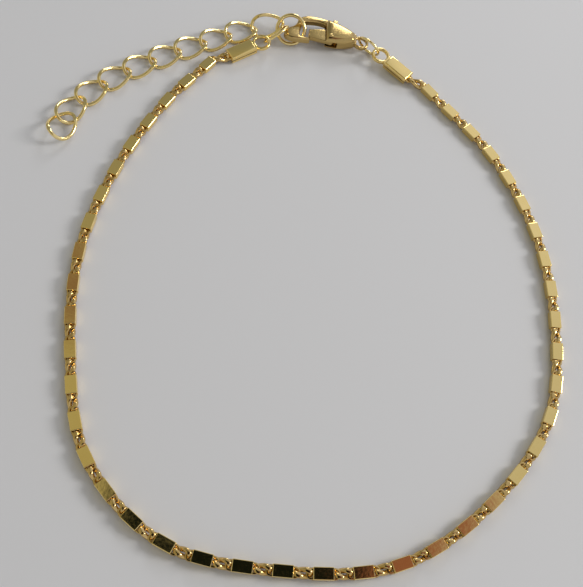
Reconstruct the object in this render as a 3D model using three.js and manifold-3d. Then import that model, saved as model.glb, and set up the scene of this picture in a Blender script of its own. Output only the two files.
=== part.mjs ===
// A chain anklet lying on a flat surface: a loop of flat bar links joined by small twisted
// connector links, an end tab at each end, a lobster clasp hooked into a jump ring, and a free
// extender of round curb links. Millimetres, +Z up, +X to the right, +Y away from the viewer.
import * as THREE from "three";
import { mergeVertices } from "three/addons/utils/BufferGeometryUtils.js";
import Module from "manifold-3d";

const wasm = await Module();
wasm.setup();

// Driving dimensions, in millimetres and degrees.
const BAR = { count: 42, length: 2.6, width: 1.55, thickness: 1.05 };
const EYE = { reach: 0.85, wall: 0.3, sideWall: 0.17, thickness: 0.24, width: 1.5, round: 0.6 };
const CONNECTOR = { wire: 0.34, halfWidth: 0.34, lift: 0.5, seat: 0.05, play: 0.21 };
const CHAIN_HEIGHT = CONNECTOR.lift + CONNECTOR.wire / 2 + 0.02;

const TAB = {
  bodyLength: 4.6,
  bodyWidth: 2.3,
  bodyThickness: 1.4,
  eyeRadius: 1.55,
  holeRadius: 1.05,
  eyeThickness: 0.6,
  eyeCentre: 6.1,
  bevel: 0.2,
};
const TAIL_RING = { radius: 2.0, wire: 0.5 };
const TAB_RING = { radius: 2.3, wire: 0.46 };
const CLASP_RING = { radius: 2.3, wire: 0.62 };

const EXTENDER = { count: 10, length: 5.86, width: 4.5, wire: 0.56, lift: 0.47 };

const CLASP = {
  armThickness: 1.2,
  backThickness: 2.5,
  bevel: 0.22,
  tailEyeX: 6.2,
  tailEyeY: -1.0,
  tailEyeRadius: 1.35,
  tailHoleRadius: 0.9,
  tailThickness: 0.6,
};
const LEVER = { thickness: 0.8, slot: 1.1, pivotX: 0.9, pivotY: -1.3, boss: 0.85, pin: 0.35, clearance: 0.12 };

// Facets: the wires have few sides, because the loop holds so many of them.
const CONNECTOR_SIDES = 5;
const RING_SIDES = 6;
const CONNECTOR_STEPS = 10;
const LINK_STEPS = 14;
const RING_STEPS = 14;
const EYE_STEPS = 2;
const ARC_STEPS = 6;
const CURVE_POINTS = 24;
const MERGE_TOLERANCE = 1e-4;

// The loop's centre line, from the first bar link beside the clasp's tail round to the last one.
const LOOP_POINTS = [
  { x: 10.9, y: 40.0 },
  { x: 22.5, y: 29.9 },
  { x: 30.4, y: 17.4 },
  { x: 34.3, y: 3.1 },
  { x: 34.4, y: -11.6 },
  { x: 27.7, y: -25.0 },
  { x: 16.8, y: -35.4 },
  { x: 2.3, y: -39.3 },
  { x: -12.7, y: -39.1 },
  { x: -24.7, y: -31.1 },
  { x: -31.2, y: -17.6 },
  { x: -34.7, y: -2.8 },
  { x: -33.9, y: 11.9 },
  { x: -29.9, y: 26.6 },
  { x: -25.7, y: 35.2 },
];

// The extender's centre line, from the link on the clasp's ring to the free end.
const EXTENDER_POINTS = [
  { x: -17.9, y: 45.5 },
  { x: -22.1, y: 43.7 },
  { x: -25.9, y: 40.8 },
  { x: -33.0, y: 34.8 },
  { x: -39.5, y: 28.1 },
  { x: -43.6, y: 21.0 },
  { x: -44.4, y: 16.1 },
];

// Poses: x and y in the loop's frame, z above the surface, turn about +Z from +X, tip raises the
// piece's own +X end, and roll turns it about its own +X axis.
const RIGHT_TAB = { x: 7.0, y: 41.9, z: 0.72, turn: 151, tip: 6, roll: 0 };
const LEFT_TAB = { x: -22.7, y: 37.9, z: 0.72, turn: 42, tip: 4, roll: 0 };
const CLASP_POSE = { x: -8.3, y: 46.75, z: 1.52, turn: 9, tip: -3.5, roll: 0 };
const CLASP_RING_POSE = { x: -13.97, y: 45.56, z: 1.86, turn: 4, tip: 0, roll: 40 };
const TAIL_RING_POSE = { x: -0.6, y: 45.53, z: 2.11, turn: -26.9, tip: 0, roll: -71 };
const TAB_RING_POSE = { x: -16.12, y: 43.59, z: 2.09, turn: 62.1, tip: -3.3, roll: -53.7 };

// The extender's two end links lie apart from the even run between them.
const END_LINK_POSES = {
  1: { x: -17.99, y: 45.6, z: 1.5, turn: 13.5, tip: 13.8, roll: 15.2 },
  10: { x: -43.98, y: 17.04, z: 1.06, turn: 91.1, tip: -8.9, roll: 6.5 },
};

const GOLD = { color: 0xc9ac5c, roughness: 0.2, metalness: 1.0 };

const radians = THREE.MathUtils.degToRad;

// Joining and cutting

function solidOf(geometry) {
  const bare = geometry.index ? geometry.toNonIndexed() : geometry.clone();
  bare.deleteAttribute("normal");
  bare.deleteAttribute("uv");
  const merged = mergeVertices(bare, MERGE_TOLERANCE);
  return new wasm.Manifold(
    new wasm.Mesh({
      numProp: 3,
      vertProperties: merged.attributes.position.array,
      triVerts: new Uint32Array(merged.index.array),
    }),
  );
}

function geometryOf(solid) {
  const { vertProperties, triVerts } = solid.getMesh();
  const geometry = new THREE.BufferGeometry();
  geometry.setAttribute("position", new THREE.BufferAttribute(vertProperties, 3));
  geometry.setIndex(new THREE.BufferAttribute(triVerts, 1));
  geometry.computeVertexNormals();
  return geometry;
}

function joined(geometries) {
  return geometries.map(solidOf).reduce((whole, piece) => whole.add(piece));
}

// Curves and sections

// A closed curve that leaves its first point in just the direction in which it comes back to it.
class ClosedCurve extends THREE.CatmullRomCurve3 {
  getTangent(t, target = new THREE.Vector3()) {
    const step = 1e-4;
    const ahead = this.getPoint((t + step) % 1);
    const behind = this.getPoint((t + 1 - step) % 1);
    return target.subVectors(ahead, behind).normalize();
  }
}

// A closed curve through points that a formula gives for each angle of one turn.
function turnCurve(pointAt) {
  const points = [];
  for (let i = 0; i < CURVE_POINTS; i += 1) {
    points.push(new THREE.Vector3(...pointAt((2 * Math.PI * i) / CURVE_POINTS)));
  }
  return new ClosedCurve(points, true);
}

// A link bent like a saddle, as a flattened curb link is: opposite quarters are high and low.
function curbCurve(halfLength, halfWidth, lift) {
  return turnCurve((a) => [halfLength * Math.cos(a), halfWidth * Math.sin(a), -lift * Math.sin(2 * a)]);
}

// A link twisted into a figure of eight as seen from above: one strand crosses over the other.
function twistedCurve(halfLength, halfWidth, lift) {
  return turnCurve((a) => [halfLength * Math.cos(a), halfWidth * Math.sin(2 * a), lift * Math.sin(a)]);
}

function circleCurve(radius) {
  return turnCurve((a) => [radius * Math.cos(a), radius * Math.sin(a), 0]);
}

// A wire along a closed curve: its walls meet where they began, so the two lids are left out.
function closedWire(curve, steps, wire, sides) {
  const corners = [];
  for (let i = 0; i < sides; i += 1) {
    const angle = (2 * Math.PI * i) / sides;
    corners.push(new THREE.Vector2((wire / 2) * Math.cos(angle), (wire / 2) * Math.sin(angle)));
  }
  const options = { steps, extrudePath: curve, bevelEnabled: false };
  const extrusion = new THREE.ExtrudeGeometry(new THREE.Shape(corners), options);
  const walls = extrusion.groups[1];
  const position = extrusion.getAttribute("position");
  const wallPositions = position.array.slice(3 * walls.start, 3 * (walls.start + walls.count));
  const open = new THREE.BufferGeometry();
  open.setAttribute("position", new THREE.BufferAttribute(wallPositions, 3));
  const ring = mergeVertices(open, MERGE_TOLERANCE);
  ring.computeVertexNormals();
  return ring;
}

// An outline in the XY plane made into a slab whose middle is at z = 0, with its edges eased.
function slab(shape, thickness, bevel, curveSegments = ARC_STEPS) {
  const geometry = new THREE.ExtrudeGeometry(shape, {
    depth: thickness - 2 * bevel,
    bevelEnabled: bevel > 0,
    bevelThickness: bevel,
    bevelSize: bevel,
    bevelOffset: -bevel,
    bevelSegments: 1,
    curveSegments,
  });
  return geometry.translate(0, 0, -thickness / 2 + bevel);
}

function barShape(x0, x1, width, corner) {
  const y = width / 2;
  const shape = new THREE.Shape();
  shape.moveTo(x0 + corner, -y);
  shape.lineTo(x1 - corner, -y);
  shape.lineTo(x1, -y + corner);
  shape.lineTo(x1, y - corner);
  shape.lineTo(x1 - corner, y);
  shape.lineTo(x0 + corner, y);
  shape.lineTo(x0, y - corner);
  shape.lineTo(x0, -y + corner);
  shape.closePath();
  return shape;
}

function discShape(x, y, radius, holeRadius) {
  const shape = new THREE.Shape();
  shape.absarc(x, y, radius, 0, 2 * Math.PI);
  if (holeRadius) {
    const hole = new THREE.Path();
    hole.absarc(x, y, holeRadius, 0, 2 * Math.PI, true);
    shape.holes.push(hole);
  }
  return shape;
}

function poseMatrix({ x, y, z, turn, tip, roll }) {
  const euler = new THREE.Euler(radians(roll), radians(-tip), radians(turn), "ZYX");
  const matrix = new THREE.Matrix4().makeRotationFromEuler(euler);
  return matrix.setPosition(x, y, z);
}

// The loop of bar links

// A thin strap from x0 to x1 with a round eye past each end that is asked for.
function strapShape(x0, x1, eyeAtStart) {
  const { reach, wall, sideWall, width, round } = EYE;
  const half = width / 2;
  const turn = Math.PI / 2;
  const inside = 0.1;
  const shape = new THREE.Shape();
  shape.absellipse(x1 + reach - round, 0, round, half, -turn, turn);
  if (eyeAtStart) {
    shape.absellipse(x0 - reach + round, 0, round, half, turn, 3 * turn);
  } else {
    shape.lineTo(x0, half);
    shape.lineTo(x0, -half);
  }
  shape.closePath();
  const holeReach = reach - wall + inside;
  const hole = new THREE.Path();
  hole.absellipse(x1 - inside, 0, holeReach, half - sideWall, -turn, turn);
  hole.closePath();
  shape.holes.push(hole);
  if (eyeAtStart) {
    const startHole = new THREE.Path();
    startHole.absellipse(x0 + inside, 0, holeReach, half - sideWall, turn, 3 * turn);
    startHole.closePath();
    shape.holes.push(startHole);
  }
  return shape;
}

function barLink() {
  const half = BAR.length / 2;
  const bar = new THREE.BoxGeometry(BAR.length, BAR.width, BAR.thickness);
  const strap = slab(strapShape(-half, half, true), EYE.thickness, 0, EYE_STEPS);
  return solidOf(bar).add(solidOf(strap));
}

// The twisted link between two ends. It bears on each end, or has play there where it is loose.
function connectorBetween(start, end, looseAtStart, looseAtEnd) {
  const along = new THREE.Vector3().subVectors(end, start).normalize();
  const halfWire = CONNECTOR.wire / 2;
  const first = start.clone().addScaledVector(along, looseAtStart ? CONNECTOR.play : halfWire - CONNECTOR.seat);
  const last = end.clone().addScaledVector(along, looseAtEnd ? -CONNECTOR.play : CONNECTOR.seat - halfWire);
  const curve = twistedCurve(first.distanceTo(last) / 2, CONNECTOR.halfWidth, CONNECTOR.lift);
  const side = new THREE.Vector3().crossVectors(new THREE.Vector3(0, 0, 1), along).normalize();
  const up = new THREE.Vector3().crossVectors(along, side);
  const middle = new THREE.Vector3().addVectors(first, last).multiplyScalar(0.5);
  const matrix = new THREE.Matrix4().makeBasis(along, side, up).setPosition(middle);
  const link = closedWire(curve, CONNECTOR_STEPS, CONNECTOR.wire, CONNECTOR_SIDES);
  return solidOf(link.applyMatrix4(matrix));
}

const loop = new THREE.CatmullRomCurve3(
  LOOP_POINTS.map(({ x, y }) => new THREE.Vector3(x, y, CHAIN_HEIGHT)),
  false,
  "centripetal",
);
loop.arcLengthDivisions = 2000;

// Each bar link's middle, heading and two ends, at an even pitch along the loop.
const bars = [];
for (let i = 0; i < BAR.count; i += 1) {
  const t = i / (BAR.count - 1);
  const middle = loop.getPointAt(t);
  const heading = loop.getTangentAt(t);
  bars.push({
    middle,
    turn: Math.atan2(heading.y, heading.x),
    start: middle.clone().addScaledVector(heading, -BAR.length / 2),
    end: middle.clone().addScaledVector(heading, BAR.length / 2),
  });
}

// A stretch of the loop as one fused body, with the loose link that joins its end to what follows.
function chainPart(first, last, next) {
  const bar = barLink();
  let whole = null;
  for (let i = first; i <= last; i += 1) {
    const { middle, turn, end } = bars[i];
    const matrix = new THREE.Matrix4().makeRotationZ(turn).setPosition(middle);
    const placed = bar.transform(matrix.toArray());
    whole = whole ? whole.add(placed) : placed;
    const target = i === last ? next : bars[i + 1].start;
    whole = whole.add(connectorBetween(end, target, false, i === last));
  }
  return whole;
}

// The two end tabs: a folded bar that grips the chain's end, and a flat eye for a jump ring.
function tabGeometry() {
  const { bodyLength, bodyWidth, bodyThickness, bevel, eyeCentre, eyeRadius, holeRadius, eyeThickness } = TAB;
  const body = slab(barShape(0, bodyLength, bodyWidth, 0.3), bodyThickness, bevel);
  const neck = slab(barShape(bodyLength - 0.6, eyeCentre - holeRadius - 0.2, 1.9, 0.1), eyeThickness, 0);
  const eye = slab(discShape(eyeCentre, 0, eyeRadius, holeRadius), eyeThickness, 0);
  const chainEye = slab(strapShape(-0.8, 0, false), EYE.thickness, 0, EYE_STEPS).rotateZ(Math.PI);
  return geometryOf(joined([body, neck, eye, chainEye]));
}

// The lobster clasp, in its own frame: +X towards the tail, +Y towards the spine.

// The outline of the hook and its spine, round the opening that the lever closes.
function hookShape() {
  const shape = new THREE.Shape();
  shape.moveTo(5.4, -1.6);
  shape.lineTo(5.5, 0.2);
  shape.quadraticCurveTo(3.2, 1.9, 0.4, 2.6);
  shape.quadraticCurveTo(-3.9, 3.6, -4.7, 1.7);
  shape.quadraticCurveTo(-4.9, 0.4, -5.8, 0.0);
  shape.quadraticCurveTo(-7.3, -0.9, -6.8, -1.9);
  shape.quadraticCurveTo(-6.3, -2.6, -4.6, -2.5);
  shape.lineTo(-2.6, -2.4);
  shape.lineTo(-2.6, -1.85);
  shape.lineTo(-4.2, -1.8);
  shape.quadraticCurveTo(-4.5, -0.6, -4.0, 0.4);
  shape.quadraticCurveTo(-3.7, 1.7, -2.4, 1.7);
  shape.quadraticCurveTo(-0.9, 1.9, -0.1, 1.5);
  shape.lineTo(0.1, -2.2);
  shape.quadraticCurveTo(2.4, -2.7, 5.4, -1.6);
  return shape;
}

// The thick back of the clasp, in which the lever turns.
function backShape() {
  const shape = new THREE.Shape();
  shape.moveTo(5.0, -1.65);
  shape.lineTo(5.1, 0.2);
  shape.quadraticCurveTo(3.0, 1.75, 0.4, 2.35);
  shape.lineTo(0.0, 1.5);
  shape.lineTo(0.1, -2.2);
  shape.quadraticCurveTo(2.4, -2.7, 5.0, -1.65);
  return shape;
}

// The space that the lever's middle part, gate and thumb piece need as it turns.
function leverSpaceShape() {
  const shape = new THREE.Shape();
  shape.moveTo(-1.0, -3.0);
  shape.lineTo(2.1, -3.0);
  shape.lineTo(2.2, -0.2);
  shape.lineTo(4.2, 3.4);
  shape.lineTo(1.0, 3.4);
  shape.lineTo(0.6, 1.1);
  shape.lineTo(-1.0, 1.1);
  shape.closePath();
  return shape;
}

function pinGeometry() {
  const height = CLASP.backThickness + 0.1;
  const pin = new THREE.CylinderGeometry(LEVER.pin, LEVER.pin, height, ARC_STEPS);
  return pin.rotateX(Math.PI / 2).translate(LEVER.pivotX, LEVER.pivotY, 0);
}

function claspBodyGeometry() {
  const hook = slab(hookShape(), CLASP.armThickness, CLASP.bevel);
  const back = slab(backShape(), CLASP.backThickness, CLASP.bevel * 1.6);
  const space = slab(leverSpaceShape(), LEVER.slot, 0);
  const { tailEyeX, tailEyeY, tailEyeRadius, tailHoleRadius, tailThickness } = CLASP;
  const tail = slab(discShape(tailEyeX, tailEyeY, tailEyeRadius, tailHoleRadius), tailThickness, 0);
  const hole = slab(discShape(tailEyeX, tailEyeY, tailHoleRadius, 0), CLASP.backThickness + 1, 0);
  const body = joined([hook, back]).subtract(solidOf(space)).subtract(solidOf(hole));
  return geometryOf(body.add(solidOf(tail)).add(solidOf(pinGeometry())));
}

// The lever: a gate that closes the hook, a boss round the pin and a thumb piece past the spine.
function leverGeometry() {
  const { pivotX, pivotY, boss, thickness, pin, clearance } = LEVER;
  const gate = new THREE.Shape();
  gate.moveTo(-2.8, -1.65);
  gate.lineTo(0.9, -2.1);
  gate.lineTo(0.9, 0.1);
  gate.lineTo(-0.2, 0.5);
  gate.lineTo(-2.7, 0.1);
  gate.closePath();
  const thumb = new THREE.Shape();
  thumb.moveTo(0.4, -0.8);
  thumb.lineTo(1.5, -0.8);
  thumb.lineTo(2.2, 2.9);
  thumb.lineTo(1.4, 2.9);
  thumb.closePath();
  const disc = discShape(pivotX, pivotY, boss, 0);
  const bore = slab(discShape(pivotX, pivotY, pin + clearance, 0), thickness + 1, 0);
  const arms = joined([slab(gate, thickness, 0), slab(thumb, thickness, 0), slab(disc, thickness, 0)]);
  return geometryOf(arms.subtract(solidOf(bore)));
}

// The scene graph

const anklet = new THREE.Group();
const loopFrame = new THREE.Group();
anklet.add(loopFrame);

function addMesh(name, geometry, pose) {
  const mesh = new THREE.Mesh(geometry, new THREE.MeshStandardMaterial(GOLD));
  mesh.name = name;
  if (pose) mesh.applyMatrix4(poseMatrix(pose));
  loopFrame.add(mesh);
  return mesh;
}

const rightTabEnd = new THREE.Vector3(RIGHT_TAB.x, RIGHT_TAB.y, RIGHT_TAB.z);
const leftTabEnd = new THREE.Vector3(LEFT_TAB.x, LEFT_TAB.y, LEFT_TAB.z);
const middleBar = BAR.count / 2;
const firstConnector = connectorBetween(rightTabEnd, bars[0].start, true, false);
const rightPart = chainPart(0, middleBar - 1, bars[middleBar].start).add(firstConnector);
const leftPart = chainPart(middleBar, BAR.count - 1, leftTabEnd);
addMesh("chain_right", geometryOf(rightPart));
addMesh("chain_left", geometryOf(leftPart));

addMesh("end_tab_right", tabGeometry(), RIGHT_TAB);
addMesh("end_tab_left", tabGeometry(), LEFT_TAB);

function ringGeometry({ radius, wire }) {
  return closedWire(circleCurve(radius), RING_STEPS, wire, RING_SIDES);
}

addMesh("clasp_ring", ringGeometry(CLASP_RING), CLASP_RING_POSE);
addMesh("tail_ring", ringGeometry(TAIL_RING), TAIL_RING_POSE);
addMesh("tab_ring", ringGeometry(TAB_RING), TAB_RING_POSE);

addMesh("clasp_body", claspBodyGeometry(), CLASP_POSE);
addMesh("clasp_lever", leverGeometry(), CLASP_POSE);

// The extender: each curb link lies across its neighbours' ends, low corners under high ones.
const extender = new THREE.CatmullRomCurve3(
  EXTENDER_POINTS.map(({ x, y }) => new THREE.Vector3(x, y, 0)),
  false,
  "centripetal",
);
for (let i = 0; i < EXTENDER.count; i += 1) {
  const t = i / (EXTENDER.count - 1);
  const { x, y } = extender.getPointAt(t);
  const heading = extender.getTangentAt(t);
  const curve = curbCurve(
    (EXTENDER.length - EXTENDER.wire) / 2,
    (EXTENDER.width - EXTENDER.wire) / 2,
    EXTENDER.lift,
  );
  const evenPose = {
    x,
    y,
    z: EXTENDER.lift + EXTENDER.wire / 2,
    turn: THREE.MathUtils.radToDeg(Math.atan2(heading.y, heading.x)) + 180,
    tip: 0,
    roll: 0,
  };
  const pose = END_LINK_POSES[i + 1] ?? evenPose;
  const number = String(i + 1).padStart(2, "0");
  addMesh("extender_link_" + number, closedWire(curve, LINK_STEPS, EXTENDER.wire, RING_SIDES), pose);
}

// The origin is on the surface, under the middle of the whole anklet.
const box = new THREE.Box3().setFromObject(loopFrame, true);
const middle = box.getCenter(new THREE.Vector3());
loopFrame.position.set(-middle.x, -middle.y, -box.min.z);

export default anklet;
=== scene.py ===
"""A gold-coloured bar-link chain anklet with a lobster clasp and an extender, lying on a pale floor.

The anklet's sizes are in millimetres and its angles in degrees, in the frame of the loop. The finished
objects are in metres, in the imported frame, and so are the floor, the lights and the clip distances.
"""

import math

import bmesh
import bpy
import numpy as np
from mathutils import Matrix, Vector

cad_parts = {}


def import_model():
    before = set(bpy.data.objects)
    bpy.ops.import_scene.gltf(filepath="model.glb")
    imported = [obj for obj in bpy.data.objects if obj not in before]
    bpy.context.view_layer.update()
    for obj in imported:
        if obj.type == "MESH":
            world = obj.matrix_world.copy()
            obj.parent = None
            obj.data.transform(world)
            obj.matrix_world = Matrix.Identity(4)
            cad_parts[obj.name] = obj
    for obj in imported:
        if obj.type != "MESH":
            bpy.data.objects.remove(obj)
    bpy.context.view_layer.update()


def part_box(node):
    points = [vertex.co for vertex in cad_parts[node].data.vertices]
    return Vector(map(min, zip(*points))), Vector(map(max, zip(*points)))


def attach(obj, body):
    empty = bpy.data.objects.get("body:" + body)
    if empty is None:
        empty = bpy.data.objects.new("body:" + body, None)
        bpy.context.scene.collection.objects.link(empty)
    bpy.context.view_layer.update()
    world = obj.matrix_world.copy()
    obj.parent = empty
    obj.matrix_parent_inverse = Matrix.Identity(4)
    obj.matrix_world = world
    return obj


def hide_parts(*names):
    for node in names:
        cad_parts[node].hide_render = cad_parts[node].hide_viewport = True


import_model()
BODY = "anklet"
LEVER_BODY = "lever"

METRES = 0.001

# The chain
BAR_COUNT = 42
BAR_LENGTH = 2.6
BAR_WIDTH = 1.55
BAR_THICKNESS = 1.05
BAR_BEVEL = 0.08
BAR_BEVEL_STEPS = 3
BAR_TILT = 0.7
TILT_SEED = 7
EYE_ROOT = 0.2
EYE_REACH = 0.88
EYE_HALF_WIDTH = 0.57
EYE_WIRE = 0.36
EYE_FLAT = 0.16
EYE_SQUARENESS = 0.7
CONNECTOR_WIRE = 0.68
CONNECTOR_HALF_WIDTH = 0.41
CONNECTOR_LIFT = 0.34
CONNECTOR_FLAT = 0.5
CONNECTOR_SEAT = 0.02
CONNECTOR_PLAY = 0.21
CHAIN_HEIGHT = 0.69

# The jump rings and the extender
TAIL_RING = {"radius": 1.97, "wire": 0.46}
TAB_RING = {"radius": 2.3, "wire": 0.45}
CLASP_RING = {"radius": 2.3, "wire": 0.61}
EXTENDER_COUNT = 10
EXTENDER_LENGTH = 5.86
EXTENDER_WIDTH = 4.5
EXTENDER_WIRE = 0.56
EXTENDER_LIFT = 0.47
EXTENDER_FLAT = 0.62

# The end tabs
TAB_LENGTH = 4.6
TAB_WIDTH = 2.3
TAB_THICKNESS = 1.4
TAB_BEVEL = 0.28
TAB_SEAM_HEIGHT = 0.14
TAB_SEAM_DEPTH = 0.22
TAB_NECK_WIDTH = 1.9
TAB_NECK_ROOT = 0.6
TAB_NECK_GAP = 0.2
TAB_NECK_BEVEL = 0.05
TAB_EYE_CENTRE = 6.1
TAB_EYE_RADIUS = 1.55
TAB_HOLE_RADIUS = 1.05
TAB_EYE_THICKNESS = 0.6
TAB_EYE_BEVEL = 0.2

# The clasp, in its own frame: +X towards the tail, +Y towards the spine
CLASP_ARM_THICKNESS = 1.2
CLASP_ARM_BEVEL = 0.32
CLASP_BACK_THICKNESS = 2.5
CLASP_BACK_BEVEL = 0.8
CLASP_TAIL_CENTRE = (6.2, -1.0)
CLASP_TAIL_RADIUS = 1.35
CLASP_TAIL_HOLE = 0.9
CLASP_TAIL_THICKNESS = 0.6
CLASP_TAIL_BEVEL = 0.18
CLASP_PIN_REACH = 0.1
CLASP_PIN_BEVEL = 0.1
LEVER_THICKNESS = 0.8
LEVER_BEVEL = 0.12
LEVER_SLOT = 1.1
LEVER_PIVOT = (0.9, -1.3)
LEVER_BOSS = 0.85
LEVER_PIN = 0.35
LEVER_CLEARANCE = 0.12
CUT_OVERRUN = 1

# Outlines: a start, then lines of two numbers and quadratic curves of four
HOOK_OUTLINE = [
    (5.4, -1.6), (5.5, 0.2), (3.2, 1.9, 0.4, 2.6), (-3.9, 3.6, -4.7, 1.7), (-4.9, 0.4, -5.8, 0.0),
    (-7.3, -0.9, -6.8, -1.9), (-6.3, -2.6, -4.6, -2.5), (-2.6, -2.4), (-2.6, -1.85), (-4.2, -1.8),
    (-4.5, -0.6, -4.0, 0.4), (-3.7, 1.7, -2.4, 1.7), (-0.9, 1.9, -0.1, 1.5), (0.1, -2.2),
    (2.4, -2.7, 5.4, -1.6),
]
BACK_OUTLINE = [
    (5.0, -1.65), (5.1, 0.2), (3.0, 1.75, 0.4, 2.35), (0.0, 1.5), (0.1, -2.2), (2.4, -2.7, 5.0, -1.65),
]
LEVER_SPACE_OUTLINE = [
    (-1.0, -3.0), (2.1, -3.0), (2.2, -0.2), (4.2, 3.4), (1.0, 3.4), (0.6, 1.1), (-1.0, 1.1),
]
GATE_OUTLINE = [(-2.8, -1.65), (0.9, -2.1), (0.9, 0.1), (-0.2, 0.5), (-2.7, 0.1)]
THUMB_OUTLINE = [(0.4, -0.8), (1.5, -0.8), (2.2, 2.9), (1.4, 2.9)]

# Smoothness
WIRE_SIDES = 14
FINE_WIRE_SIDES = 10
CONNECTOR_STEPS = 48
EYE_STEPS = 14
RING_STEPS = 72
LINK_STEPS = 80
CIRCLE_STEPS = 48
BEVEL_STEPS = 4
QUADRATIC_STEPS = 12
LOOP_SAMPLES = 4000
SAME_POINT = 1e-6
MERGE_DISTANCE = 1e-4

# Edges that turn by less than these angles, in degrees, are shaded smooth.
PLATE_SMOOTH_ANGLE = 12
CURB_SMOOTH_ANGLE = 30
SLAB_SMOOTH_ANGLE = 35
LINK_SMOOTH_ANGLE = 45
RING_SMOOTH_ANGLE = 60

# A direction that no wire starts along, from which its first cross-section is turned
WIRE_REFERENCE = (0.31, 0.17, 0.93)

LOOP_POINTS = [
    (10.9, 40.0), (22.5, 29.9), (30.4, 17.4), (34.3, 3.1), (34.4, -11.6), (27.7, -25.0), (16.8, -35.4),
    (2.3, -39.3), (-12.7, -39.1), (-24.7, -31.1), (-31.2, -17.6), (-34.7, -2.8), (-33.9, 11.9),
    (-29.9, 26.6), (-25.7, 35.2),
]
EXTENDER_POINTS = [
    (-17.9, 45.5), (-22.1, 43.7), (-25.9, 40.8), (-33.0, 34.8), (-39.5, 28.1), (-43.6, 21.0), (-44.4, 16.1),
]

# Poses: place, then turn about +Z, tip that raises the piece's own +X end, and roll about its own +X.
RIGHT_TAB = ((7.0, 41.9, 0.72), 151, 6, 0)
LEFT_TAB = ((-22.7, 37.9, 0.72), 42, 4, 0)
CLASP_POSE = ((-8.3, 46.75, 1.52), 9, -3.5, 0)
CLASP_RING_POSE = ((-13.97, 45.56, 1.86), 4, 0, 40)
TAIL_RING_POSE = ((-0.6, 45.53, 2.11), -26.9, 0, -71)
TAB_RING_POSE = ((-16.12, 43.59, 2.09), 62.1, -3.3, -53.7)
END_LINK_POSES = {
    1: ((-17.99, 45.6, 1.5), 13.5, 13.8, 15.2),
    10: ((-43.98, 17.04, 1.06), 91.1, -8.9, 6.5),
}

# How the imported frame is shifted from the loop's frame, which the clasp ring's middle shows.
RING_LOW, RING_HIGH = (np.array(corner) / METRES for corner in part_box("clasp_ring"))
SHIFT = (RING_LOW + RING_HIGH) / 2 - np.array(CLASP_RING_POSE[0])

# The camera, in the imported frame: its place in millimetres, and the distances that it sees in metres
CAMERA_PLACE = (1.242, -57.713, 103.33)
CAMERA_ELEVATION = 63.55
CAMERA_ROLL = 12.93
FOCAL_PIXELS = 803
IMAGE_LONG_SIDE = 587
SENSOR = 36.0
CLIP_START = 0.005
CLIP_END = 20

# The gold's slow drift in colour and its fine polishing marks: scales are in waves to a metre,
# and the marks' depth is in metres.
DRIFT_SCALE = 380
DRIFT_DETAIL = 3
MARKS_SCALE = 2600
MARKS_DETAIL = 4
MARKS_LOW = 0.3
MARKS_HIGH = 0.7
MARKS_DEPTH = 0.00002
SMOOTHEST = 0.7
ROUGHEST = 1.4

# The floor and the lights, in metres
FLOOR_HALF = 1.5
FLOOR_COLOUR = (0.665, 0.665, 0.69)
FLOOR_ROUGHNESS = 0.7
LIGHTS = {
    "window": {"place": (0.62, 0.2, 0.36), "size": 0.26, "power": 3.0, "colour": (1.0, 0.98, 0.94)},
    "far_window": {"place": (0.05, 0.62, 0.3), "size": 0.2, "power": 0.7, "colour": (0.95, 0.98, 1.0)},
}

# The surround. A direction is given by its slope across (+X over +Z) and its slope away (+Y over +Z).
LOWEST_SLOPE_HEIGHT = 0.08
DIM_NEAR = (0.40, 0.38, 0.26)
DIM_FAR = (0.26, 0.27, 0.25)
DIM_CHANGE = (0.25, 0.85)
BRIGHT_NEAR = (0.55, 0.56, 0.60)
BRIGHT_FAR = (0.74, 0.76, 0.87)
BRIGHT_CHANGE = (0.3, 0.85)
SIDE_CHANGE = (-0.22, 0.3)
HORIZON_COLOUR = (0.62, 0.62, 0.64)
HORIZON_CHANGE = (0.12, 0.4)
CARDS = [
    {"across": (-0.36, -0.24), "away": (0.36, 0.5), "soft": 0.05, "colour": (0.22, 0.15, 0.11)},
    {"across": (0.1, 0.3), "away": (-0.4, 0.26), "soft": 0.035, "colour": (0.26, 0.115, 0.095)},
    {"across": (-0.155, 0.155), "away": (-0.8, 0.22), "soft": 0.02, "colour": (0.006, 0.008, 0.008)},
]


# Meshes

class Solid:
    """Vertices and faces that are gathered, in the loop's frame, into one mesh."""

    def __init__(self):
        self.points = []
        self.faces = []

    def add(self, points, faces):
        start = len(self.points)
        self.points.extend(map(tuple, points))
        self.faces.extend(tuple(start + i for i in face) for face in faces)

    def piece(self, name, material, smooth_angle=PLATE_SMOOTH_ANGLE):
        mesh = bpy.data.meshes.new(name)
        place = (np.array(self.points) + SHIFT) * METRES
        mesh.from_pydata(place.tolist(), [], self.faces)
        mesh.validate()
        obj = bpy.data.objects.new(name, mesh)
        bpy.context.scene.collection.objects.link(obj)
        finish_piece(obj, material, smooth_angle)
        return obj


def finish_piece(obj, material, smooth_angle):
    """Turns the faces outward, shades them smooth up to an angle, and gives the piece its material."""
    shape = bmesh.new()
    shape.from_mesh(obj.data)
    bmesh.ops.recalc_face_normals(shape, faces=shape.faces)
    for edge in shape.edges:
        edge.smooth = len(edge.link_faces) == 2 and edge.calc_face_angle() < math.radians(smooth_angle)
    for face in shape.faces:
        face.smooth = True
    shape.to_mesh(obj.data)
    shape.free()
    obj.data.materials.clear()
    obj.data.materials.append(material)


def pose_matrix(pose):
    place, turn, tip, roll = pose
    turning = Matrix.Rotation(math.radians(turn), 4, "Z")
    tipping = Matrix.Rotation(math.radians(-tip), 4, "Y")
    rolling = Matrix.Rotation(math.radians(roll), 4, "X")
    return np.array(Matrix.Translation(place) @ turning @ tipping @ rolling)


def placed(points, matrix):
    return np.asarray(points) @ matrix[:3, :3].T + matrix[:3, 3]


def unit(vector):
    return vector / np.linalg.norm(vector)


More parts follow.
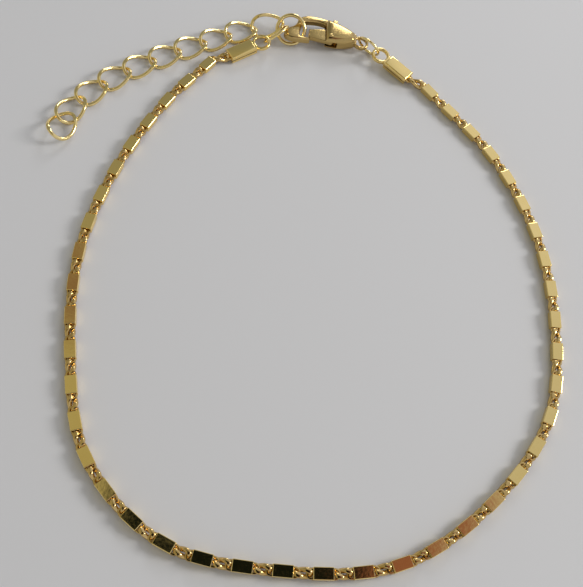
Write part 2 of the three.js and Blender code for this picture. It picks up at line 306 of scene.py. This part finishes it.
def wire(path, diameter, sides, closed):
    """A round wire along a path: its points and faces. An open wire gets a lid at each end."""
    path = np.asarray(path, float)
    count = len(path)
    if closed:
        tangents = np.roll(path, -1, 0) - np.roll(path, 1, 0)
    else:
        tangents = np.gradient(path, axis=0)
    tangents /= np.linalg.norm(tangents, axis=1)[:, None]
    across = unit(np.cross(tangents[0], WIRE_REFERENCE))
    sideways = []
    for tangent in tangents:
        across = unit(across - tangent * (across @ tangent))
        sideways.append(across)
    twist = 0.0
    if closed:
        back = unit(across - tangents[0] * (across @ tangents[0]))
        twist = math.atan2(np.cross(sideways[0], back) @ tangents[0], sideways[0] @ back)
    points = []
    for i in range(count):
        angle = -twist * i / count
        normal = np.cross(tangents[i], sideways[i])
        for side in range(sides):
            a = angle + 2 * math.pi * side / sides
            points.append(path[i] + diameter / 2 * (math.cos(a) * sideways[i] + math.sin(a) * normal))
    faces = []
    for i in range(count if closed else count - 1):
        j = (i + 1) % count
        for side in range(sides):
            other = (side + 1) % sides
            faces.append((i * sides + side, i * sides + other, j * sides + other, j * sides + side))
    if not closed:
        faces.append(tuple(range(sides)))
        faces.append(tuple((count - 1) * sides + side for side in range(sides)))
    return points, faces


def turn_path(point_at, steps):
    angles = np.linspace(0, 2 * math.pi, steps, endpoint=False)
    return np.array([point_at(a) for a in angles])


def smooth_curve(knots, height):
    """A smooth curve through the knots: closely spaced points, and how far along it each one lies."""
    knots = [np.array([x, y, height]) for x, y in knots]
    points = []
    per_span = LOOP_SAMPLES // (len(knots) - 1)
    for i in range(len(knots) - 1):
        b, c = knots[i], knots[i + 1]
        a = knots[i - 1] if i else 2 * b - c
        d = knots[i + 2] if i + 2 < len(knots) else 2 * c - b
        ab, bc, cd = (np.linalg.norm(q - p) ** 0.5 for p, q in ((a, b), (b, c), (c, d)))
        first = ((b - a) / ab - (c - a) / (ab + bc) + (c - b) / bc) * bc
        last = ((c - b) / bc - (d - b) / (bc + cd) + (d - c) / cd) * bc
        for t in np.linspace(0, 1, per_span, endpoint=False):
            square = -3 * b + 3 * c - 2 * first - last
            cube = 2 * b - 2 * c + first + last
            points.append(b + first * t + square * t * t + cube * t ** 3)
    points.append(knots[-1])
    points = np.array(points)
    steps = np.linalg.norm(np.diff(points, axis=0), axis=1)
    return points, np.concatenate([[0], np.cumsum(steps)])


def stations(knots, count, height):
    """Points at an even pitch along a curve, each with the curve's heading there."""
    points, along = smooth_curve(knots, height)
    found = []
    for distance in np.linspace(0, along[-1], count):
        place = np.array([np.interp(distance, along, points[:, k]) for k in range(3)])
        i = min(max(int(np.searchsorted(along, distance)), 1), len(points) - 1)
        found.append((place, unit(points[i] - points[i - 1])))
    return found


def rounded_box(length, width, thickness, bevel):
    shape = bmesh.new()
    bmesh.ops.create_cube(shape, size=1)
    bmesh.ops.scale(shape, vec=(length, width, thickness), verts=shape.verts)
    bmesh.ops.bevel(
        shape, geom=shape.edges[:], offset=bevel, segments=BAR_BEVEL_STEPS, profile=0.5, affect="EDGES",
    )
    shape.verts.index_update()
    points = [tuple(v.co) for v in shape.verts]
    faces = [tuple(v.index for v in f.verts) for f in shape.faces]
    shape.free()
    return points, faces


# Outlines made into slabs with round edges

def outline(start, *moves):
    """Points along an outline: a move of two numbers is a line, and one of four is a quadratic curve."""
    points = [start]
    for move in moves:
        if len(move) == 2:
            points.append(move)
            continue
        x0, y0 = points[-1]
        x1, y1, x2, y2 = move
        for step in range(1, QUADRATIC_STEPS + 1):
            t = step / QUADRATIC_STEPS
            weights = ((1 - t) ** 2, 2 * t * (1 - t), t * t)
            x = weights[0] * x0 + weights[1] * x1 + weights[2] * x2
            y = weights[0] * y0 + weights[1] * y1 + weights[2] * y2
            points.append((x, y))
    if math.dist(points[0], points[-1]) < SAME_POINT:
        points.pop()
    return points


def circle(x, y, radius):
    angles = [2 * math.pi * i / CIRCLE_STEPS for i in range(CIRCLE_STEPS)]
    return [(x + radius * math.cos(a), y + radius * math.sin(a)) for a in angles]


def slab(outlines, thickness, bevel):
    """A slab about z = 0 from an outline and any holes in it, with rounded edges inside the outline."""
    curve = bpy.data.curves.new("slab", "CURVE")
    curve.dimensions = "2D"
    curve.fill_mode = "BOTH"
    curve.extrude = thickness / 2 - bevel
    curve.bevel_depth = bevel
    curve.bevel_resolution = BEVEL_STEPS
    curve.offset = -bevel
    for points in outlines:
        spline = curve.splines.new("POLY")
        spline.points.add(len(points) - 1)
        for point, (x, y) in zip(spline.points, points):
            point.co = (x, y, 0, 1)
        spline.use_cyclic_u = True
    holder = bpy.data.objects.new("slab", curve)
    bpy.context.scene.collection.objects.link(holder)
    bpy.context.view_layer.update()
    depsgraph = bpy.context.evaluated_depsgraph_get()
    mesh = bpy.data.meshes.new_from_object(holder.evaluated_get(depsgraph))
    bpy.data.objects.remove(holder)
    shape = bmesh.new()
    shape.from_mesh(mesh)
    bmesh.ops.remove_doubles(shape, verts=shape.verts, dist=MERGE_DISTANCE)
    bmesh.ops.recalc_face_normals(shape, faces=shape.faces)
    shape.to_mesh(mesh)
    shape.free()
    obj = bpy.data.objects.new("slab", mesh)
    bpy.context.scene.collection.objects.link(obj)
    return obj


def combined(base, others, operation):
    """The first object added to, or cut by, the others, which are then removed."""
    for other in others:
        modifier = base.modifiers.new("joint", "BOOLEAN")
        modifier.operation = operation
        modifier.solver = "EXACT"
        modifier.object = other
        bpy.context.view_layer.update()
        depsgraph = bpy.context.evaluated_depsgraph_get()
        mesh = bpy.data.meshes.new_from_object(base.evaluated_get(depsgraph))
        base.modifiers.clear()
        base.data = mesh
        bpy.data.objects.remove(other)
    return base


def take_place(obj, name, pose, material):
    """Puts a piece that was made about its own origin at its pose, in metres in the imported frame."""
    scale = np.diag([METRES, METRES, METRES, 1])
    shift = np.eye(4)
    shift[:3, 3] = SHIFT
    obj.data.transform(Matrix(scale @ shift @ pose_matrix(pose)))
    obj.name = name
    obj.data.name = name
    finish_piece(obj, material, SLAB_SMOOTH_ANGLE)


# Materials

def gold(name, colour, pale, roughness, grain):
    """Polished gold plating: a slow drift in colour, faint polishing marks and small changes in gloss."""
    material = bpy.data.materials.new(name)
    material.use_nodes = True
    tree = material.node_tree
    nodes = tree.nodes
    shader = nodes["Principled BSDF"]
    shader.inputs["Metallic"].default_value = 1.0
    place = nodes.new("ShaderNodeTexCoord")
    drift = nodes.new("ShaderNodeTexNoise")
    drift.inputs["Scale"].default_value = DRIFT_SCALE
    drift.inputs["Detail"].default_value = DRIFT_DETAIL
    tree.links.new(place.outputs["Object"], drift.inputs["Vector"])
    colours = nodes.new("ShaderNodeMix")
    colours.data_type = "RGBA"
    colours.inputs["A"].default_value = (*colour, 1)
    colours.inputs["B"].default_value = (*pale, 1)
    tree.links.new(drift.outputs["Fac"], colours.inputs["Factor"])
    tree.links.new(colours.outputs["Result"], shader.inputs["Base Color"])
    gloss = nodes.new("ShaderNodeMapRange")
    gloss.inputs["From Min"].default_value = MARKS_LOW
    gloss.inputs["From Max"].default_value = MARKS_HIGH
    gloss.inputs["To Min"].default_value = roughness * SMOOTHEST
    gloss.inputs["To Max"].default_value = roughness * ROUGHEST
    marks = nodes.new("ShaderNodeTexNoise")
    marks.inputs["Scale"].default_value = MARKS_SCALE
    marks.inputs["Detail"].default_value = MARKS_DETAIL
    tree.links.new(place.outputs["Object"], marks.inputs["Vector"])
    tree.links.new(marks.outputs["Fac"], gloss.inputs["Value"])
    tree.links.new(gloss.outputs["Result"], shader.inputs["Roughness"])
    bump = nodes.new("ShaderNodeBump")
    bump.inputs["Strength"].default_value = grain
    bump.inputs["Distance"].default_value = MARKS_DEPTH
    tree.links.new(marks.outputs["Fac"], bump.inputs["Height"])
    tree.links.new(bump.outputs["Normal"], shader.inputs["Normal"])
    return material


PLATE_GOLD = gold(
    "plate_gold", colour=(0.90, 0.67, 0.24), pale=(0.96, 0.74, 0.31), roughness=0.07, grain=0.15,
)
WIRE_GOLD = gold(
    "wire_gold", colour=(0.88, 0.66, 0.25), pale=(0.98, 0.80, 0.40), roughness=0.14, grain=0.3,
)
# Painted shade: the connectors and eyes get a darker gold that stands in for the shade in the gaps between
# the bars.
SHADED_LINK_GOLD = gold(
    "link_gold_painted_shade", colour=(0.50, 0.32, 0.09), pale=(0.84, 0.62, 0.28), roughness=0.08, grain=0.2,
)
CLASP_GOLD = gold(
    "clasp_gold", colour=(0.50, 0.34, 0.12), pale=(0.62, 0.45, 0.18), roughness=0.16, grain=0.1,
)


def ride(obj, body, *replaced):
    """Puts a piece on a body, and hides the solids that it is drawn in place of."""
    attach(obj, body)
    if replaced:
        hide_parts(*replaced)


# The chain: bars, the eyes past their ends, and the twisted connectors

def rigid(place, heading, tip=0, roll=0):
    return pose_matrix((place, math.degrees(math.atan2(heading[1], heading[0])), tip, roll))


def squarish(value):
    return math.copysign(abs(value) ** EYE_SQUARENESS, value)


def eye(start, sign):
    """A flattened loop from one side of a bar's end to the other, with its two ends inside the bar."""
    reach = EYE_REACH - EYE_WIRE / 2
    root = start - sign * EYE_ROOT
    angles = np.linspace(-math.pi / 2, math.pi / 2, EYE_STEPS)
    path = [(root, -EYE_HALF_WIDTH, 0)]
    for a in angles:
        x = start + sign * reach * squarish(math.cos(a))
        path.append((x, EYE_HALF_WIDTH * squarish(math.sin(a)), 0))
    path.append((root, EYE_HALF_WIDTH, 0))
    points, faces = wire(path, EYE_WIRE, FINE_WIRE_SIDES, False)
    points = np.array(points)
    points[:, 2] = np.clip(points[:, 2], -EYE_FLAT, EYE_FLAT)
    return points, faces


def connector(solid, start, end, loose_start, loose_end):
    """A twisted link between two ends: seated on a bar's face, or with play inside a tab's eye."""
    along = unit(end - start)
    half_wire = CONNECTOR_WIRE / 2
    first = start + along * (CONNECTOR_PLAY if loose_start else half_wire - CONNECTOR_SEAT)
    last = end - along * (CONNECTOR_PLAY if loose_end else half_wire - CONNECTOR_SEAT)
    half = np.linalg.norm(last - first) / 2
    side = unit(np.cross((0, 0, 1), along))
    up = np.cross(along, side)
    matrix = np.eye(4)
    matrix[:3, :3] = np.stack([along, side, up], 1)
    matrix[:3, 3] = (first + last) / 2

    def twisted(a):
        return half * math.cos(a), CONNECTOR_HALF_WIDTH * math.sin(a), CONNECTOR_LIFT * math.sin(2 * a)

    points, faces = wire(turn_path(twisted, CONNECTOR_STEPS), CONNECTOR_WIRE, FINE_WIRE_SIDES, True)
    points = np.array(points)
    points[:, 2] = np.clip(points[:, 2], -CONNECTOR_FLAT, CONNECTOR_FLAT)
    solid.add(placed(points, matrix), faces)


BARS = stations(LOOP_POINTS, BAR_COUNT, CHAIN_HEIGHT)
HALF_BAR = BAR_LENGTH / 2
RIGHT_END = np.array(RIGHT_TAB[0])
LEFT_END = np.array(LEFT_TAB[0])
TILTS = np.random.default_rng(TILT_SEED).normal(0, BAR_TILT, (BAR_COUNT, 2))


def chain(name, first, last, next_end):
    plates = Solid()
    links = Solid()
    bar = rounded_box(BAR_LENGTH, BAR_WIDTH, BAR_THICKNESS, BAR_BEVEL)
    for i in range(first, last + 1):
        place, heading = BARS[i]
        plates.add(placed(bar[0], rigid(place, heading, *TILTS[i])), bar[1])
        matrix = rigid(place, heading)
        for sign in (-1, 1):
            points, faces = eye(sign * HALF_BAR, sign)
            links.add(placed(points, matrix), faces)
        end = place + heading * HALF_BAR
        if i == last:
            target = next_end
        else:
            target = BARS[i + 1][0] - BARS[i + 1][1] * HALF_BAR
        connector(links, end, target, False, i == last)
    if first == 0:
        connector(links, RIGHT_END, BARS[0][0] - BARS[0][1] * HALF_BAR, True, False)
    ride(plates.piece(name + "_plates", PLATE_GOLD), BODY, name)
    ride(links.piece(name + "_links", SHADED_LINK_GOLD, LINK_SMOOTH_ANGLE), BODY)


MIDDLE_BAR = BAR_COUNT // 2
chain("chain_right", 0, MIDDLE_BAR - 1, BARS[MIDDLE_BAR][0] - BARS[MIDDLE_BAR][1] * HALF_BAR)
chain("chain_left", MIDDLE_BAR, BAR_COUNT - 1, LEFT_END)


# The end tabs

def rectangle(x0, y0, x1, y1):
    return outline((x0, y0), (x1, y0), (x1, y1), (x0, y1))


def tab(name, pose):
    half_width = TAB_WIDTH / 2
    body = slab([rectangle(0, -half_width, TAB_LENGTH, half_width)], TAB_THICKNESS, TAB_BEVEL)
    seams = []
    for side in (-1, 1):
        inner = side * (half_width - TAB_SEAM_DEPTH)
        outer = side * (half_width + CUT_OVERRUN)
        seam = rectangle(-CUT_OVERRUN, inner, TAB_LENGTH + CUT_OVERRUN, outer)
        seams.append(slab([seam], TAB_SEAM_HEIGHT, 0))
    body = combined(body, seams, "DIFFERENCE")
    neck_start = TAB_LENGTH - TAB_NECK_ROOT
    neck_end = TAB_EYE_CENTRE - TAB_HOLE_RADIUS - TAB_NECK_GAP
    neck_outline = rectangle(neck_start, -TAB_NECK_WIDTH / 2, neck_end, TAB_NECK_WIDTH / 2)
    neck = slab([neck_outline], TAB_EYE_THICKNESS, TAB_NECK_BEVEL)
    rim = circle(TAB_EYE_CENTRE, 0, TAB_EYE_RADIUS)
    hole = circle(TAB_EYE_CENTRE, 0, TAB_HOLE_RADIUS)
    round_eye = slab([rim, hole], TAB_EYE_THICKNESS, TAB_EYE_BEVEL)
    obj = combined(body, [neck, round_eye], "UNION")
    take_place(obj, name + "_body", pose, PLATE_GOLD)
    ride(obj, BODY, name)
    loop = Solid()
    points, faces = eye(0, -1)
    loop.add(placed(points, pose_matrix(pose)), faces)
    ride(loop.piece(name + "_chain_eye", SHADED_LINK_GOLD, LINK_SMOOTH_ANGLE), BODY)


tab("end_tab_right", RIGHT_TAB)
tab("end_tab_left", LEFT_TAB)


# The jump rings and the extender's curb links

def ring(name, size, pose):
    radius = size["radius"]
    path = turn_path(lambda a: (radius * math.cos(a), radius * math.sin(a), 0), RING_STEPS)
    points, faces = wire(path, size["wire"], WIRE_SIDES, True)
    solid = Solid()
    solid.add(placed(points, pose_matrix(pose)), faces)
    ride(solid.piece(name + "_wire", WIRE_GOLD, RING_SMOOTH_ANGLE), BODY, name)


ring("clasp_ring", CLASP_RING, CLASP_RING_POSE)
ring("tail_ring", TAIL_RING, TAIL_RING_POSE)
ring("tab_ring", TAB_RING, TAB_RING_POSE)

half_length = (EXTENDER_LENGTH - EXTENDER_WIRE) / 2
half_width = (EXTENDER_WIDTH - EXTENDER_WIRE) / 2
curb = turn_path(
    lambda a: (half_length * math.cos(a), half_width * math.sin(a), -EXTENDER_LIFT * math.sin(2 * a)),
    LINK_STEPS,
)
curb_points, curb_faces = wire(curb, EXTENDER_WIRE, WIRE_SIDES, True)
curb_points = np.array(curb_points)
curb_points[:, 2] = np.clip(curb_points[:, 2], -EXTENDER_FLAT, EXTENDER_FLAT)
LINK_HEIGHT = EXTENDER_LIFT + EXTENDER_WIRE / 2

# Each link's own +X end points back towards the clasp.
for number, (place, heading) in enumerate(stations(EXTENDER_POINTS, EXTENDER_COUNT, LINK_HEIGHT), 1):
    heading_angle = math.degrees(math.atan2(heading[1], heading[0])) + 180
    pose = END_LINK_POSES.get(number, (tuple(place), heading_angle, 0, 0))
    link = Solid()
    link.add(placed(curb_points, pose_matrix(pose)), curb_faces)
    piece = link.piece(f"curb_link_{number:02d}", WIRE_GOLD, CURB_SMOOTH_ANGLE)
    ride(piece, BODY, f"extender_link_{number:02d}")


# The clasp

hook = slab([outline(*HOOK_OUTLINE)], CLASP_ARM_THICKNESS, CLASP_ARM_BEVEL)
back = slab([outline(*BACK_OUTLINE)], CLASP_BACK_THICKNESS, CLASP_BACK_BEVEL)
lever_space = slab([outline(*LEVER_SPACE_OUTLINE)], LEVER_SLOT, 0)
tail_hole = slab([circle(*CLASP_TAIL_CENTRE, CLASP_TAIL_HOLE)], CLASP_BACK_THICKNESS + CUT_OVERRUN, 0)
tail_outlines = [circle(*CLASP_TAIL_CENTRE, radius) for radius in (CLASP_TAIL_RADIUS, CLASP_TAIL_HOLE)]
tail = slab(tail_outlines, CLASP_TAIL_THICKNESS, CLASP_TAIL_BEVEL)
clasp = combined(hook, [back], "UNION")
clasp = combined(clasp, [lever_space, tail_hole], "DIFFERENCE")
clasp = combined(clasp, [tail], "UNION")
take_place(clasp, "clasp_shell", CLASP_POSE, CLASP_GOLD)
ride(clasp, BODY, "clasp_body")
pin = slab([circle(*LEVER_PIVOT, LEVER_PIN)], CLASP_BACK_THICKNESS + CLASP_PIN_REACH, CLASP_PIN_BEVEL)
take_place(pin, "clasp_pin", CLASP_POSE, CLASP_GOLD)
ride(pin, BODY)

gate = slab([outline(*GATE_OUTLINE)], LEVER_THICKNESS, LEVER_BEVEL)
thumb = slab([outline(*THUMB_OUTLINE)], LEVER_THICKNESS, LEVER_BEVEL)
boss = slab([circle(*LEVER_PIVOT, LEVER_BOSS)], LEVER_THICKNESS, LEVER_BEVEL)
bore = slab([circle(*LEVER_PIVOT, LEVER_PIN + LEVER_CLEARANCE)], LEVER_THICKNESS + CUT_OVERRUN, 0)
lever = combined(gate, [thumb, boss], "UNION")
lever = combined(lever, [bore], "DIFFERENCE")
take_place(lever, "clasp_gate", CLASP_POSE, CLASP_GOLD)
ride(lever, LEVER_BODY, "clasp_lever")


# The floor, the light and the camera

def floor():
    mesh = bpy.data.meshes.new("floor")
    corners = [(FLOOR_HALF * x, FLOOR_HALF * y, 0) for x, y in ((-1, -1), (1, -1), (1, 1), (-1, 1))]
    mesh.from_pydata(corners, [], [(0, 1, 2, 3)])
    obj = bpy.data.objects.new("floor", mesh)
    bpy.context.scene.collection.objects.link(obj)
    material = bpy.data.materials.new("pale_floor")
    material.use_nodes = True
    shader = material.node_tree.nodes["Principled BSDF"]
    shader.inputs["Base Color"].default_value = (*FLOOR_COLOUR, 1)
    shader.inputs["Roughness"].default_value = FLOOR_ROUGHNESS
    mesh.materials.append(material)


floor()


def area_light(name, place, size, power, colour):
    data = bpy.data.lights.new(name, "AREA")
    data.shape = "DISK"
    data.size = size
    data.energy = power
    data.color = colour
    obj = bpy.data.objects.new(name, data)
    bpy.context.scene.collection.objects.link(obj)
    obj.location = place
    obj.rotation_mode = "QUATERNION"
    obj.rotation_quaternion = (-Vector(place)).to_track_quat("-Z", "Y")


for light_name, light in LIGHTS.items():
    area_light(light_name, **light)


def world():
    """A soft surround, bright on the right and dim on the left, with cards that the plates mirror."""
    shade = bpy.data.worlds.new("studio")
    bpy.context.scene.world = shade
    shade.use_nodes = True
    tree = shade.node_tree
    nodes = tree.nodes
    background = nodes["Background"]
    direction = nodes.new("ShaderNodeTexCoord")
    parts = nodes.new("ShaderNodeSeparateXYZ")
    tree.links.new(direction.outputs["Generated"], parts.inputs["Vector"])

    def math_node(operation, first, second):
        node = nodes.new("ShaderNodeMath")
        node.operation = operation
        for socket, value in zip(node.inputs, (first, second)):
            if isinstance(value, (int, float)):
                socket.default_value = value
            else:
                tree.links.new(value, socket)
        return node.outputs["Value"]

    def ramp(value, low, high):
        node = nodes.new("ShaderNodeMapRange")
        node.interpolation_type = "SMOOTHSTEP"
        tree.links.new(value, node.inputs["Value"])
        node.inputs["From Min"].default_value = low
        node.inputs["From Max"].default_value = high
        return node.outputs["Result"]

    def mix(factor, first, second):
        node = nodes.new("ShaderNodeMix")
        node.data_type = "RGBA"
        tree.links.new(factor, node.inputs["Factor"])
        for socket, value in ((node.inputs["A"], first), (node.inputs["B"], second)):
            if isinstance(value, tuple):
                socket.default_value = (*value, 1)
            else:
                tree.links.new(value, socket)
        return node.outputs["Result"]

    height = math_node("MAXIMUM", parts.outputs["Z"], LOWEST_SLOPE_HEIGHT)
    across = math_node("DIVIDE", parts.outputs["X"], height)
    away = math_node("DIVIDE", parts.outputs["Y"], height)

    def band(value, low, high, soft):
        rise = ramp(value, low - soft, low + soft)
        fall = ramp(value, high + soft, high - soft)
        return math_node("MULTIPLY", rise, fall)

    dim_side = mix(ramp(away, *DIM_CHANGE), DIM_NEAR, DIM_FAR)
    bright_side = mix(ramp(away, *BRIGHT_CHANGE), BRIGHT_NEAR, BRIGHT_FAR)
    sky = mix(ramp(across, *SIDE_CHANGE), dim_side, bright_side)
    for card in CARDS:
        columns = band(across, *card["across"], card["soft"])
        rows = band(away, *card["away"], card["soft"])
        sky = mix(math_node("MULTIPLY", columns, rows), sky, card["colour"])
    low = mix(ramp(parts.outputs["Z"], *HORIZON_CHANGE), HORIZON_COLOUR, sky)
    tree.links.new(low, background.inputs["Color"])


world()


def camera():
    data = bpy.data.cameras.new("camera")
    data.sensor_width = SENSOR
    data.lens = FOCAL_PIXELS / IMAGE_LONG_SIDE * SENSOR
    data.clip_start = CLIP_START
    data.clip_end = CLIP_END
    obj = bpy.data.objects.new("camera", data)
    bpy.context.scene.collection.objects.link(obj)
    elevation = math.radians(CAMERA_ELEVATION)
    roll = math.radians(CAMERA_ROLL)
    right = Vector((1, 0, 0))
    up = Vector((0, math.sin(elevation), math.cos(elevation)))
    forward = Vector((0, math.cos(elevation), -math.sin(elevation)))
    image_right = math.cos(roll) * right + math.sin(roll) * up
    image_up = math.cos(roll) * up - math.sin(roll) * right
    matrix = Matrix((image_right, image_up, -forward)).transposed().to_4x4()
    matrix.translation = Vector(CAMERA_PLACE) * METRES
    obj.matrix_world = matrix
    bpy.context.scene.camera = obj


camera()
bpy.context.scene.view_settings.view_transform = "Standard"
